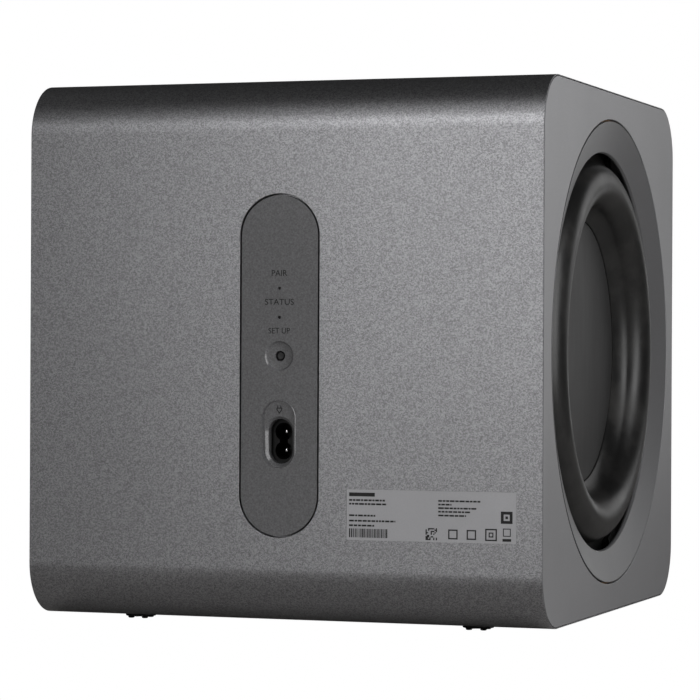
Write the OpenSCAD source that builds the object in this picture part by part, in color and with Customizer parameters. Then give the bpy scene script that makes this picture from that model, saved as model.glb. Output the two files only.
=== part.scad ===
// Compact cube subwoofer with two opposed side-firing drivers.
// Front faces -Y, the control panel is on the +Y wall, the drivers face -X and +X.

/* [Cabinet] */
// Width between the outer faces of the side panels
cab_w = 249; // [240:1:260]
// Depth from the front wall to the rear wall
cab_d = 249; // [246:1:256]
// Height of the shell without its feet
cab_h = 249; // [246:1:256]
// Radius of the four long edges
corner_r = 25; // [20:1:30]
// Thickness of the wrap's walls
wall_t = 6; // [5:0.5:8]
// Thickness of a side panel
side_t = 3; // [2.5:0.5:4]
// Thin lip of the wrap round each side panel
lip_t = 0.6; // [0.4:0.1:1]
// Dark gap between the lip and the side panel
side_gap = 0.6; // [0.4:0.1:0.8]
// Thickness of a baffle board
baffle_t = 22; // [20:1:26]
// Thickness of the centre brace
brace_t = 8; // [6:1:12]

/* [Feet] */
// Height of the feet below the shell
foot_h = 2.8; // [2.4:0.1:4]
// Radius of a foot
foot_r = 7.2; // [6.5:0.1:8]
// Distance of the feet from the middle along X
foot_x = 83.7; // [70:0.1:90]
// Distance of the feet from the middle along Y
foot_y = 86.3; // [70:0.1:90]
// Depth of the pocket that a foot sits in
foot_pocket = 0.8; // [0.4:0.1:1.2]

/* [Driver] */
// Outer radius of the trim ring
trim_r = 110.3; // [109:0.1:111]
// Inner radius of the trim ring's lip
trim_lip_r = 95.2; // [94.6:0.1:96]
// Depth of the trim ring's lip below the side face
trim_lip_d = 4.4; // [3.6:0.1:5]
// Middle radius of the surround's roll
roll_r = 80.6; // [80.4:0.1:81]
// Half width of the surround's roll
roll_half = 11.4; // [11:0.1:11.6]
// Height of the surround's roll
roll_h = 12.4; // [10:0.1:12.6]
// Thickness of the surround's rubber
roll_t = 1.2; // [0.8:0.1:1.6]
// Radius of the cone's flat centre cap
cap_r = 63.2; // [62:0.1:64]
// Depth of the centre cap below the side face
cap_d = 16.6; // [16.2:0.1:17]
// Radius of the magnet
magnet_r = 57; // [52:1:60]
// Thickness of the magnet
magnet_t = 18; // [16:1:18]
// Outer radius of the voice coil's former
former_r = 25.4; // [25.4:0.1:25.6]

/* [Control panel] */
// Width of the control panel
panel_w = 37; // [36:0.5:38]
// Height of the control panel
panel_h = 155; // [150:1:160]
// Height of the panel's lower end above the shell's bottom
panel_low = 40; // [38:1:44]
// Gap round the panel
panel_gap = 0.5; // [0.3:0.1:0.8]
// How far the panel's face lies below the rear face
panel_sink = 0.2; // [0:0.1:0.5]
// Radius of the set button
button_r = 2; // [1.8:0.1:2.2]
// Travel of the set button
button_travel = 0.5; // [0.3:0.1:0.5]
// Radius of an indicator lens
lens_r = 0.7; // [0.6:0.05:0.8]

/* [Power inlet] */
// Radius of an inlet pin
pin_r = 1.2; // [1.15:0.05:1.2]
// Distance between the inlet pins
pin_gap = 8.6; // [8.6:0.1:8.6]
// Length of an inlet pin inside the socket
pin_len = 9.8; // [9:0.1:10.5]

/* [Hidden] */

$fn = 96;
// Extra length of a cutting tool past the face it cuts
cut = 1;
half_w = cab_w / 2;
half_d = cab_d / 2;
// Height of the drivers' common axis
axis_z = foot_h + cab_h / 2;
// Running and assembly clearances
snug = 0.05;
slip = 0.3;

// Cabinet: the wrap ends just inside the side faces
wrap_half = half_w - 0.2;
side_inset = lip_t + side_gap;
board_inset = wall_t + 0.2;
baffle_end = side_t + baffle_t;

// Driver: depths are measured inwards from the side face
foot_d = 13.4;
flange_d = 14.5;
flange_t = 3;
flange_r = 106.5;
gasket_t = 1;
seat_d = flange_d + flange_t + gasket_t;
seat_r = flange_r + 0.8;
throat_r = 94;
basket_r = 91;
screw_ring_r = 101.5;
screw_count = 8;
screw_r = 1.8;
screw_head_r = 2.8;
screw_head_t = 2.2;
cone_rim_r = roll_r - roll_half - slip;
cone_t = 1.4;
cap_t = 1.2;
neck_d = 43.5;
spider_d = 52.5;
spider_shelf_r = 57;
basket_end = 69;
plate_t = 8;
magnet_d = basket_end + plate_t;
yoke_d = magnet_d + magnet_t;
pole_r = former_r - 1.6;
gap_r = former_r + 2;
coil_r = former_r + 1.2;
coil_len = 24;

// Control panel: heights are in the part's frame
panel_z0 = foot_h + panel_low;
panel_z1 = panel_z0 + panel_h;
panel_half = panel_w / 2;
panel_y = half_d - panel_sink;
ledge_y = half_d - 4;
panel_back_y = ledge_y + 0.1;
inner_y = half_d - wall_t;
link_lens_z = foot_h + 152.7;
standby_lens_z = foot_h + 139.5;
button_z = foot_h + 121.9;
dish_r = 6.2;
dish_depth = 1.3;
button_sink = 2;
button_flange_r = 3.4;
board_front_y = 114.6;
board_t = 1.6;
plunger_r = 1.4;

// Power inlet
inlet_z = foot_h + 83.05;
well_half = 5.9;
well_h = 20.5;
well_z0 = inlet_z - well_h / 2;
well_z1 = inlet_z + well_h / 2;
well_wall = 1.3;
inlet_face_y = panel_y - 6.6;
socket_depth = 13;
socket_r = 4.1;
socket_floor_y = inlet_face_y - socket_depth;
recess_half = 7.8;
recess_z0 = foot_h + 71.1;
recess_h = 30.6;
recess_low = 1.8;
recess_high = 0.5;
// The pins narrow to a tail just above the socket's floor
tail_r = 1;
tail_len = 6;
neck_h = 0.4;

// Electronics housing
tub_half = 17.5;
tub_wall = 2;
tub_z0 = panel_z0 + 1;
tub_z1 = panel_z1 - 1;
tub_end_y = 60;
tub_flange = 9.5;
tub_flange_t = 2.5;
tub_gasket_t = 1;
tub_screw_x = 22.5;
tub_screw_z = [60, 100, 140, 180];
amp_x = -12;
amp_y0 = 64;
amp_y1 = 110;
amp_z0 = 55;
amp_z1 = 185;

// Rating label
label_x0 = -112.5;
label_w = 79.7;
label_z0 = foot_h + 39.1;
label_h = 23;
label_t = 0.15;

// ---- helpers -------------------------------------------------------------

// Square with round corners, centred, drawn with true arcs
module rounded(w, h, r) {
    square([w - 2 * r, h], center = true);
    square([w, h - 2 * r], center = true);
    for (x = [-1, 1], y = [-1, 1])
        translate([x * (w / 2 - r), y * (h / 2 - r)]) circle(r);
}

// Upright outline with round ends between two heights
module stadium(half, z0, z1) {
    translate([-half, z0 + half]) square([2 * half, z1 - z0 - 2 * half]);
    for (z = [z0 + half, z1 - half]) translate([0, z]) circle(half);
}

// The cabinet's side outline, moved inwards, extruded along X between two places
module slab(inset, x0, x1) {
    translate([x0, 0, axis_z]) rotate([90, 0, 90])
        linear_extrude(x1 - x0)
            rounded(cab_d - 2 * inset, cab_h - 2 * inset, corner_r - inset);
}

// Extrudes an outline of the rear wall from one depth to another
module rear(y0, y1) {
    translate([0, y1, 0]) rotate([90, 0, 0]) linear_extrude(y1 - y0) children();
}

// Box given by its two opposite corners
module block(low, high) {
    translate(low) cube(high - low);
}

// Cylinder along Y
module rod_y(x, z, y0, y1, r) {
    translate([x, y1, z]) rotate([90, 0, 0]) cylinder(h = y1 - y0, r = r);
}

// Stands the children on the driver axis: their z is the distance from the
// middle of the cabinet, their x points up
module on_side(side) {
    translate([0, 0, axis_z])
        if (side < 0) mirror([1, 0, 0]) rotate([0, 90, 0]) rotate([0, 0, 180]) children();
        else rotate([0, 90, 0]) rotate([0, 0, 180]) children();
}

// Turned solid from [radius, depth below the side face] points
module turned(points) {
    rotate_extrude() polygon([for (p = points) [p[0], half_w - p[1]]]);
}

// Places the children at the driver screws
module at_driver_screws() {
    for (i = [0 : screw_count - 1])
        rotate([0, 0, (i + 0.5) * 360 / screw_count]) translate([screw_ring_r, 0, 0]) children();
}

// Places the children at the four feet
module at_feet() {
    for (x = [-foot_x, foot_x], y = [-foot_y, foot_y]) translate([x, y, 0]) children();
}

// Places the children at the housing screws
module at_housing_screws() {
    for (x = [-tub_screw_x, tub_screw_x], z = tub_screw_z) translate([x, 0, z]) children();
}

// ---- cabinet -------------------------------------------------------------

module cabinet_wrap() {
    color([0.52, 0.52, 0.53]) difference() {
        slab(0, -wrap_half, wrap_half);
        slab(wall_t, -half_w - cut, half_w + cut);
        for (side = [-1, 1])
            slab(lip_t, side < 0 ? -half_w - cut : half_w - side_t, side < 0 ? side_t - half_w : half_w + cut);
        rear(ledge_y, half_d + cut)
            stadium(panel_half + panel_gap, panel_z0 - panel_gap, panel_z1 + panel_gap);
        rear(inner_y - cut, half_d + cut) stadium(panel_half - 2, panel_z0 + 2, panel_z1 - 2);
        block([label_x0, half_d - label_t, label_z0], [label_x0 + label_w, half_d + cut, label_z0 + label_h]);
        at_housing_screws() rod_y(0, 0, inner_y - cut, half_d - 2.2, 1.45);
        at_feet() {
            translate([0, 0, foot_h - cut]) cylinder(h = foot_pocket + cut, r = foot_r + 0.2);
            cylinder(h = foot_h + 5, r = 1.35);
        }
    }
}

module side_panel(side) {
    color([0.46, 0.46, 0.47]) difference() {
        slab(side_inset, side < 0 ? -half_w : half_w - side_t, side < 0 ? side_t - half_w : half_w);
        on_side(side) cylinder(h = half_w + cut, r = trim_r + 0.4);
    }
}

module baffle(side) {
    x0 = side < 0 ? side_t - half_w : half_w - baffle_end;
    color([0.62, 0.5, 0.36]) difference() {
        slab(board_inset, x0, x0 + baffle_t);
        on_side(side) {
            cylinder(h = half_w + cut, r = throat_r);
            translate([0, 0, half_w - seat_d]) cylinder(h = seat_d, r = seat_r);
            at_driver_screws() translate([0, 0, half_w - baffle_end + 0.8])
                cylinder(h = baffle_t, r = screw_r + snug);
        }
    }
}

module centre_brace() {
    window = 90;
    slot_z0 = 28;
    slot_z1 = 210;
    slot_y = 40;
    color([0.62, 0.5, 0.36]) difference() {
        slab(board_inset, -brace_t / 2, brace_t / 2);
        translate([-brace_t, 0, axis_z]) rotate([90, 0, 90])
            linear_extrude(2 * brace_t) rounded(2 * window, 2 * window, 20);
        block([-brace_t, slot_y, slot_z0], [brace_t, half_d, slot_z1]);
    }
}

module damping_pads() {
    pad_t = 10;
    y0 = -half_d + board_inset;
    color([0.2, 0.2, 0.2]) for (x = [-70, brace_t / 2 + 1])
        block([x, y0, 40], [x + 70 - brace_t / 2 - 1, y0 + pad_t, 215]);
}

module feet() {
    nub_r = 1.5;
    nub_ring = 4.9;
    base_z = 1;
    color([0.07, 0.07, 0.07]) at_feet() {
        difference() {
            translate([0, 0, base_z]) cylinder(h = foot_h + foot_pocket - base_z, r = foot_r);
            cylinder(h = foot_h + 2, r = 1.6);
            cylinder(h = base_z + 1.3, r = 2.7);
        }
        for (a = [45 : 90 : 315])
            rotate([0, 0, a]) translate([nub_ring, 0, 0]) cylinder(h = base_z + 0.5, r = nub_r);
    }
}

module foot_screws() {
    color("silver") at_feet() {
        translate([0, 0, 1.3]) cylinder(h = 1, r = 2.4);
        translate([0, 0, 1.4]) cylinder(h = 6, r = 1.3);
    }
}

module rating_label() {
    color([0.62, 0.62, 0.62])
        block([label_x0 + 0.1, half_d - label_t, label_z0 + 0.1],
              [label_x0 + label_w - 0.1, half_d, label_z0 + label_h - 0.1]);
}

// ---- driver, fixed parts ---------------------------------------------------

module trim_ring(side) {
    skirt_r = seat_r - 0.4;
    rim_t = side_t;
    profile = [
        [trim_r - 0.6, 0], [trim_r, 0.5], [trim_r, rim_t], [skirt_r, rim_t], [skirt_r, flange_d],
        [skirt_r - 2, flange_d], [skirt_r - 2, rim_t + 1.9], [trim_lip_r + 1.6, trim_lip_d + 2.6],
        [trim_lip_r + 0.4, trim_lip_d + 2.2], [trim_lip_r, trim_lip_d + 1.2], [trim_lip_r + 0.5, trim_lip_d]
    ];
    color([0.42, 0.42, 0.43]) on_side(side) turned(profile);
}

module driver_gasket(side) {
    color([0.15, 0.15, 0.15]) on_side(side) difference() {
        translate([0, 0, half_w - seat_d]) cylinder(h = gasket_t, r = flange_r);
        translate([0, 0, half_w - seat_d - cut]) cylinder(h = gasket_t + 2 * cut, r = throat_r);
        translate([0, 0, half_w - seat_d - cut]) at_driver_screws() cylinder(h = gasket_t + 2 * cut, r = screw_r + slip);
    }
}

module basket(side) {
    wall = 3.4;
    floor_r = 62.2;
    floor_t = 3.5;
    window_step = 60;
    window_angle = 20;
    profile = [
        [basket_r, flange_d], [flange_r, flange_d], [flange_r, flange_d + flange_t],
        [basket_r + 2.6, flange_d + flange_t], [basket_r + 1.6, flange_d + 7.5],
        [floor_r + wall, basket_end - 3], [floor_r + 1.6, basket_end], [28, basket_end],
        [28, basket_end - floor_t], [floor_r, basket_end - floor_t], [basket_r - 1.4, flange_d + 5.5]
    ];
    color([0.25, 0.25, 0.26]) on_side(side) difference() {
        union() {
            turned(profile);
            translate([0, 0, half_w - spider_d - 2]) difference() {
                cylinder(h = 2, r = 71);
                translate([0, 0, -cut]) cylinder(h = 2 + 2 * cut, r = spider_shelf_r);
            }
        }
        for (i = [0 : 5], stretch = [[26, 48], [spider_d + 3.5, 63]])
            rotate([0, 0, (i + 0.5) * window_step]) translate([0, 0, half_w - stretch[1]])
                linear_extrude(stretch[1] - stretch[0])
                    polygon([for (a = [-window_angle, window_angle], r = a < 0 ? [50, 120] : [120, 50])
                        [r * cos(a), r * sin(a)]]);
        at_driver_screws() cylinder(h = half_w, r = screw_r + slip);
    }
}

module driver_screws(side) {
    tip_d = baffle_end - 1.5;
    color([0.1, 0.1, 0.1]) on_side(side) at_driver_screws() {
        translate([0, 0, half_w - tip_d]) cylinder(h = tip_d - flange_d, r = screw_r);
        difference() {
            translate([0, 0, half_w - flange_d]) cylinder(h = screw_head_t, r = screw_head_r);
            translate([0, 0, half_w - flange_d + screw_head_t - 1.2]) cylinder(h = 2, r = 1.4, $fn = 6);
        }
    }
}

module surround(side) {
    steps = 16;
    inner_half = roll_half - roll_t;
    flat_r = 98.4;
    glue_r = 67;
    outer_arc = [for (i = [0 : steps]) let (a = 180 * i / steps)
        [roll_r + roll_half * cos(a), foot_d - roll_h * sin(a)]];
    inner_arc = [for (i = [0 : steps]) let (a = 180 - 180 * i / steps)
        [roll_r + inner_half * cos(a), flange_d - (roll_h - 0.1) * sin(a)]];
    inner_foot = [[cone_rim_r + slip, 14.9], [glue_r, 16.3], [glue_r, 17.6], [roll_r - inner_half, 15.6]];
    color([0.09, 0.09, 0.09]) on_side(side)
        turned(concat([[flat_r, foot_d]], outer_arc, inner_foot, inner_arc, [[flat_r, flange_d]]));
}

module spider(side) {
    waves = 4;
    height = 1.3;
    cloth_t = 0.7;
    r0 = former_r + slip;
    r1 = spider_shelf_r - slip;
    steps = 24;
    rest_d = spider_d - cloth_t;
    face = [for (i = [0 : steps]) [r0 + (r1 - r0) * i / steps, rest_d - height * sin(360 * waves * i / steps)]];
    back = [for (i = [steps : -1 : 0]) [face[i][0], face[i][1] + cloth_t]];
    color([0.75, 0.62, 0.3]) on_side(side)
        turned(concat(face, [[spider_shelf_r + 8, rest_d], [spider_shelf_r + 8, spider_d]], back));
}

module top_plate(side) {
    color([0.6, 0.6, 0.6]) on_side(side)
        turned([[gap_r, basket_end], [magnet_r - 2, basket_end], [magnet_r - 2, magnet_d], [gap_r, magnet_d]]);
}

module magnet(side) {
    hole_r = 33;
    color([0.16, 0.16, 0.17]) on_side(side)
        turned([[hole_r, magnet_d], [magnet_r, magnet_d], [magnet_r, yoke_d], [hole_r, yoke_d]]);
}

module yoke(side) {
    vent_r = 7;
    plate_r = magnet_r - 1;
    color([0.6, 0.6, 0.6]) on_side(side) turned([
        [vent_r, basket_end], [pole_r, basket_end], [pole_r, yoke_d], [plate_r, yoke_d],
        [plate_r, yoke_d + plate_t], [vent_r, yoke_d + plate_t]
    ]);
}

module terminal(side) {
    half = 9;
    strip = [[81.2, 42], [84.5, 42], [84.5, 53], [74.8, 53]];
    color([0.3, 0.18, 0.08]) on_side(side) translate([0, half, 0]) rotate([90, 0, 0]) {
        linear_extrude(2 * half) polygon([for (p = strip) [p[0], half_w - p[1]]]);
        for (y = [3, 13]) translate([84.5, half_w - 50, y]) cube([4, 5, 1.2]);
    }
}

// ---- driver, moving parts --------------------------------------------------

module cone(side) {
    seat_r = cap_r + 0.2;
    neck_r = former_r + 1.4;
    profile = [
        [cone_rim_r, foot_d], [seat_r, cap_d], [seat_r, cap_d + cap_t + 0.1], [seat_r - 2.2, cap_d + cap_t + 0.1],
        [neck_r, neck_d - 0.7], [former_r + snug, neck_d], [former_r + snug, neck_d + 4],
        [neck_r, neck_d + 4], [neck_r + 0.4, neck_d + 1.5], [62.6, 19.6], [65.2, 17.3], [cone_rim_r, foot_d + cone_t]
    ];
    color([0.14, 0.14, 0.15]) on_side(side) turned(profile);
}

module centre_cap(side) {
    color([0.22, 0.22, 0.23]) on_side(side)
        translate([0, 0, half_w - cap_d - cap_t]) cylinder(h = cap_t, r = cap_r);
}

module voice_coil(side) {
    former_end = 84;
    middle = basket_end + plate_t / 2;
    former_in = former_r - 0.8;
    color([0.72, 0.42, 0.2]) on_side(side) turned([
        [former_in, neck_d], [former_r, neck_d], [former_r, middle - coil_len / 2],
        [coil_r, middle - coil_len / 2], [coil_r, middle + coil_len / 2],
        [former_in, middle + coil_len / 2]
    ]);
}

// ---- control panel ---------------------------------------------------------

module control_panel() {
    slant = atan((recess_low - recess_high) / recess_h);
    dish_ball = (dish_r * dish_r + dish_depth * dish_depth) / (2 * dish_depth);
    color([0.3, 0.3, 0.31]) difference() {
        union() {
            rear(panel_back_y, panel_y) stadium(panel_half, panel_z0, panel_z1);
            rear(inlet_face_y, panel_back_y + cut)
                stadium(well_half + well_wall, well_z0 - well_wall, well_z1 + well_wall);
        }
        rear(inlet_face_y - cut, half_d + cut) stadium(well_half, well_z0, well_z1);
        translate([0, panel_y - recess_low, recess_z0]) rotate([-slant, 0, 0])
            rear(0, 6) stadium(recess_half, 0, recess_h);
        translate([0, panel_y - dish_depth + dish_ball, button_z]) sphere(dish_ball);
        rod_y(0, button_z, panel_back_y - cut, half_d, button_r + slip);
        for (z = [link_lens_z, standby_lens_z]) rod_y(0, z, panel_back_y - cut, half_d + cut, lens_r + snug);
    }
}

module indicator_lenses() {
    color([0.05, 0.05, 0.06]) for (z = [link_lens_z, standby_lens_z])
        rod_y(0, z, board_front_y + 0.8, panel_y - 0.4, lens_r);
}

module set_button() {
    stop_y = panel_back_y - 0.2;
    color([0.26, 0.26, 0.27]) {
        rod_y(0, button_z, stop_y - 3, panel_y - button_sink, button_r);
        rod_y(0, button_z, stop_y - 1.2, stop_y, button_flange_r);
    }
}

module switch_plunger() {
    color([0.8, 0.8, 0.78])
        rod_y(0, button_z, board_front_y + 1.2, panel_back_y - 3.2, plunger_r);
}

module push_switch() {
    half = 3;
    color([0.1, 0.1, 0.1]) difference() {
        block([-half, board_front_y, button_z - half], [half, board_front_y + 2.2, button_z + half]);
        rod_y(0, button_z, board_front_y + 1.2 - button_travel - 0.1, half_d, plunger_r + snug);
    }
}

module status_leds() {
    color([0.9, 0.9, 0.8]) for (z = [link_lens_z, standby_lens_z])
        block([-0.8, board_front_y, z - 0.8], [0.8, board_front_y + 0.6, z + 0.8]);
}

module control_board() {
    color([0.05, 0.3, 0.15])
        block([-11.5, board_front_y - board_t, 108], [11.5, board_front_y, 168]);
}

module power_inlet() {
    waist = 1.9;
    color([0.04, 0.04, 0.04]) difference() {
        rear(socket_floor_y - 3, inlet_face_y)
            stadium(well_half + well_wall, well_z0 - well_wall, well_z1 + well_wall);
        for (s = [-1, 1]) {
            rod_y(0, inlet_z + s * pin_gap / 2, socket_floor_y, half_d, socket_r);
            rod_y(0, inlet_z + s * pin_gap / 2, 0, half_d, tail_r);
        }
        block([-waist, socket_floor_y, inlet_z - pin_gap / 2], [waist, half_d, inlet_z + pin_gap / 2]);
    }
}

module inlet_pins() {
    color([0.85, 0.85, 0.85]) for (z = [inlet_z - pin_gap / 2, inlet_z + pin_gap / 2]) {
        rod_y(0, z, socket_floor_y - tail_len, socket_floor_y + neck_h + cut, tail_r);
        rod_y(0, z, socket_floor_y + neck_h, socket_floor_y + pin_len, pin_r);
    }
}

// ---- electronics -----------------------------------------------------------

module electronics_housing() {
    flange_y = inner_y - tub_gasket_t;
    color([0.1, 0.1, 0.1]) difference() {
        union() {
            rear(tub_end_y, flange_y) stadium(tub_half, tub_z0, tub_z1);
            rear(flange_y - tub_flange_t, flange_y)
                stadium(tub_half + tub_flange, tub_z0 - tub_flange, tub_z1 + tub_flange);
        }
        rear(tub_end_y + tub_wall, half_d)
            stadium(tub_half - tub_wall, tub_z0 + tub_wall, tub_z1 - tub_wall);
        at_housing_screws() rod_y(0, 0, 100, half_d, 1.6);
    }
}

module housing_gasket() {
    color([0.2, 0.2, 0.2]) difference() {
        rear(inner_y - tub_gasket_t, inner_y)
            stadium(tub_half + tub_flange, tub_z0 - tub_flange, tub_z1 + tub_flange);
        rear(inner_y - 2 * tub_gasket_t, half_d) stadium(tub_half, tub_z0, tub_z1);
        at_housing_screws() rod_y(0, 0, 100, half_d, 1.6);
    }
}

module housing_screws() {
    head_y = inner_y - tub_gasket_t - tub_flange_t;
    color("silver") at_housing_screws() {
        rod_y(0, 0, head_y - 2.2, head_y, 2.6);
        rod_y(0, 0, head_y - 1, half_d - 2.6, 1.4);
    }
}

module amplifier_board() {
    color([0.05, 0.3, 0.15]) block([amp_x - board_t, amp_y0, amp_z0], [amp_x, amp_y1, amp_z1]);
}

module power_transformer() {
    color([0.85, 0.7, 0.2]) {
        block([amp_x, 68, 56], [amp_x + 4, 94, 82]);
        block([amp_x + 4, 72, 60], [amp_x + 18, 90, 78]);
        block([amp_x + 18, 68, 56], [amp_x + 21, 94, 82]);
    }
}

module smoothing_capacitors() {
    color([0.12, 0.14, 0.3]) for (z = [94, 113])
        translate([amp_x, 76, z]) rotate([0, 90, 0]) cylinder(h = 21, r = 8);
}

module output_coils() {
    color([0.7, 0.35, 0.15]) for (z = [131, 148])
        translate([amp_x, 76, z]) rotate([0, 90, 0]) difference() {
            cylinder(h = 9, r = 7.5);
            translate([0, 0, -cut]) cylinder(h = 11, r = 3.5);
        }
}

module amplifier_chip() {
    color([0.08, 0.08, 0.08]) block([amp_x, 76, 166], [amp_x + 1.4, 88, 178]);
}

module heat_sink() {
    base_x = amp_x + 1.4;
    color([0.7, 0.7, 0.72]) {
        block([base_x, 68, 160], [base_x + 3, 98, 184]);
        for (y = [68 : 5.6 : 96]) block([base_x + 2, y, 160], [base_x + 18, y + 2, 184]);
    }
}

module wireless_module() {
    color([0.1, 0.35, 0.25]) block([amp_x, 94, 112], [amp_x + 1, 108, 140]);
    color("silver") block([amp_x + 1, 95, 118], [amp_x + 3.4, 107, 138]);
}

// One insulated wire from the housing's end to a driver's terminal, swept along its route
module speaker_lead(side, offset) {
    wire_r = 1.1;
    sides = 8;
    top_z = axis_z + 92;
    up = [0.2, 0.3, 1];
    route = [for (p = [
        [8, tub_end_y - offset, 176], [8, 50, 176], [10, 38, 188], [18, 26, top_z - 4],
        [32, 18, top_z], [62, 8, top_z], [76, 2, top_z - 3]
    ]) [side * p[0], p[1] + offset, p[2] + offset]];
    last = len(route) - 1;
    rings = [for (i = [0 : last]) let (
            way = route[min(i + 1, last)] - route[max(i - 1, 0)],
            across = cross(way, up) / norm(cross(way, up)),
            over = cross(way, across) / norm(cross(way, across))
        ) for (k = [0 : sides - 1]) route[i] + wire_r * (cos(360 * k / sides) * across + sin(360 * k / sides) * over)];
    walls = [for (i = [0 : last - 1], k = [0 : sides - 1]) let (
            a = i * sides + k,
            b = i * sides + (k + 1) % sides
        ) [a, b, b + sides, a + sides]];
    ends = [[for (k = [sides - 1 : -1 : 0]) k], [for (k = [0 : sides - 1]) last * sides + k]];
    polyhedron(rings, concat(walls, ends));
}

module speaker_leads() {
    color([0.6, 0.1, 0.1]) for (side = [-1, 1], offset = [0, 2.6]) speaker_lead(side, offset);
}

// ---- nodes -----------------------------------------------------------------

cabinet_wrap();
side_panel(-1);  // side_panel_left
side_panel(1);  // side_panel_right
baffle(-1);  // baffle_left
baffle(1);  // baffle_right
centre_brace();
damping_pads();
feet();
foot_screws();
rating_label();
trim_ring(-1);  // trim_ring_left
trim_ring(1);  // trim_ring_right
driver_gasket(-1);  // driver_gasket_left
driver_gasket(1);  // driver_gasket_right
basket(-1);  // basket_left
basket(1);  // basket_right
driver_screws(-1);  // driver_screws_left
driver_screws(1);  // driver_screws_right
surround(-1);  // surround_left
surround(1);  // surround_right
spider(-1);  // spider_left
spider(1);  // spider_right
top_plate(-1);  // top_plate_left
top_plate(1);  // top_plate_right
magnet(-1);  // magnet_left
magnet(1);  // magnet_right
yoke(-1);  // yoke_left
yoke(1);  // yoke_right
terminal(-1);  // terminal_left
terminal(1);  // terminal_right
cone(-1);  // cone_left
cone(1);  // cone_right
centre_cap(-1);  // centre_cap_left
centre_cap(1);  // centre_cap_right
voice_coil(-1);  // voice_coil_left
voice_coil(1);  // voice_coil_right
control_panel();
indicator_lenses();
set_button();
switch_plunger();
push_switch();
status_leds();
control_board();
power_inlet();
inlet_pins();
electronics_housing();
housing_gasket();
housing_screws();
amplifier_board();
power_transformer();
smoothing_capacitors();
output_coils();
amplifier_chip();
heat_sink();
wireless_module();
speaker_leads();
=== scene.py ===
# Looks of a compact cube subwoofer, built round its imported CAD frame.
# Lengths are in millimetres until a mesh is made; every finished mesh is in metres.
import math
import random

import bmesh
import bpy
from mathutils import Matrix, Vector
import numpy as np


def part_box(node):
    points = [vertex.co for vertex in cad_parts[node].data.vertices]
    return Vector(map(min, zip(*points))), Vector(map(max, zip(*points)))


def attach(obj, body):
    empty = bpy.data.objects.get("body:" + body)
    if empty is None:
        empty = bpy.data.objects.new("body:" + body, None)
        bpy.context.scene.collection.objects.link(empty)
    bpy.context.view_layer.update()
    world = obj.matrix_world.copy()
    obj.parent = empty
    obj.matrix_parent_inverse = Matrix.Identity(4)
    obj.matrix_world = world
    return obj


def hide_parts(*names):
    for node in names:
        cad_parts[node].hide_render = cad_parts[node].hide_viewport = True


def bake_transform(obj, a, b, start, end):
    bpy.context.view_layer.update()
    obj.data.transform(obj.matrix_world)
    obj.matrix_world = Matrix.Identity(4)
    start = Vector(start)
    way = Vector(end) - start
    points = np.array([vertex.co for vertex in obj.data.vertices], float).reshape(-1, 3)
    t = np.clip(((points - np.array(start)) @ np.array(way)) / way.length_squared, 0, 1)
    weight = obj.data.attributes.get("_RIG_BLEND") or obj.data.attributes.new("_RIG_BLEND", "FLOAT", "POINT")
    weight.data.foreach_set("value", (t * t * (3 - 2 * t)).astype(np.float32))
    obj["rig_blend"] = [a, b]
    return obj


MM = 0.001
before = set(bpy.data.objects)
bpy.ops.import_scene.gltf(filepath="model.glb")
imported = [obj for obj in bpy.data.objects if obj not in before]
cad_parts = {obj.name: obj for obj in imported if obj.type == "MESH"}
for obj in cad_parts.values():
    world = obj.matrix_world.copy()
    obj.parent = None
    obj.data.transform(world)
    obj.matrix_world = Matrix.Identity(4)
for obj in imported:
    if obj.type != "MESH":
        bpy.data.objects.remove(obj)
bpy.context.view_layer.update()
scene = bpy.context.scene
scene.view_settings.view_transform = "Standard"


def span(node):
    """Lowest and highest corner of a CAD node, in millimetres."""
    low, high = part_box(node)
    return low / MM, high / MM


# ---- places, taken from the CAD nodes --------------------------------

wrap_low, wrap_high = span("cabinet_wrap")
plate_low, plate_high = span("side_panel_left")
trim_low, trim_high = span("trim_ring_left")
cap_low, cap_high = span("centre_cap_left")
cone_low = span("cone_left")[0]
panel_low, panel_high = span("control_panel")
lens_low, lens_high = span("indicator_lenses")
button_low, button_high = span("set_button")
inlet_low, inlet_high = span("power_inlet")
pin_low, pin_high = span("inlet_pins")
label_low, label_high = span("rating_label")
feet_high = span("feet")[1]

# Names end in _R for a radius, _D for a depth below a side face, _Y and _Z for a place on an axis.
HALF_W = -plate_low.x
HALF_D = wrap_high.y
AXIS_Z = (wrap_low.z + wrap_high.z) / 2
PLATE_T = plate_high.x - plate_low.x
TRIM_R = (trim_high.z - trim_low.z) / 2
CONE_D = HALF_W + cone_low.x
CAP_R = (cap_high.z - cap_low.z) / 2
CAP_D = HALF_W + cap_low.x
PANEL_Y = panel_high.y
PANEL_TOP = panel_high.z
BUTTON_Z = (button_low.z + button_high.z) / 2
INLET_Z = (inlet_low.z + inlet_high.z) / 2
INLET_Y = inlet_high.y
PIN_R = pin_high.x
PIN_GAP = pin_high.z - pin_low.z - 2 * PIN_R
PIN_Z = (INLET_Z - PIN_GAP / 2, INLET_Z + PIN_GAP / 2)
LENS_R = lens_high.x
LENS_Z = (lens_low.z + LENS_R, lens_high.z - LENS_R)

# ---- sizes that the nodes' boxes don't give --------------------------

CORNER_R = 25
WALL = 6
INNER_Y = HALF_D - WALL
# Where a cutter ends outside the rear wall
OUTSIDE_Y = HALF_D + 1
# Thin lip of the wrap beside a side panel, and how far inside the outline the panel ends
LIP = 0.5
PLATE_INSET = 0.8
LABEL_CORNER_R = 0.8
FOOT_R = 7.2
FOOT_X = feet_high.x - FOOT_R
FOOT_Y = feet_high.y - FOOT_R

# Trim ring: the lip over the surround, the skirt, and the flange that the skirt stands on
LIP_R = TRIM_R - 15.1
LIP_D = 4.4
SKIRT_R = 106.9
FLANGE_D = 14.5

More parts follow.
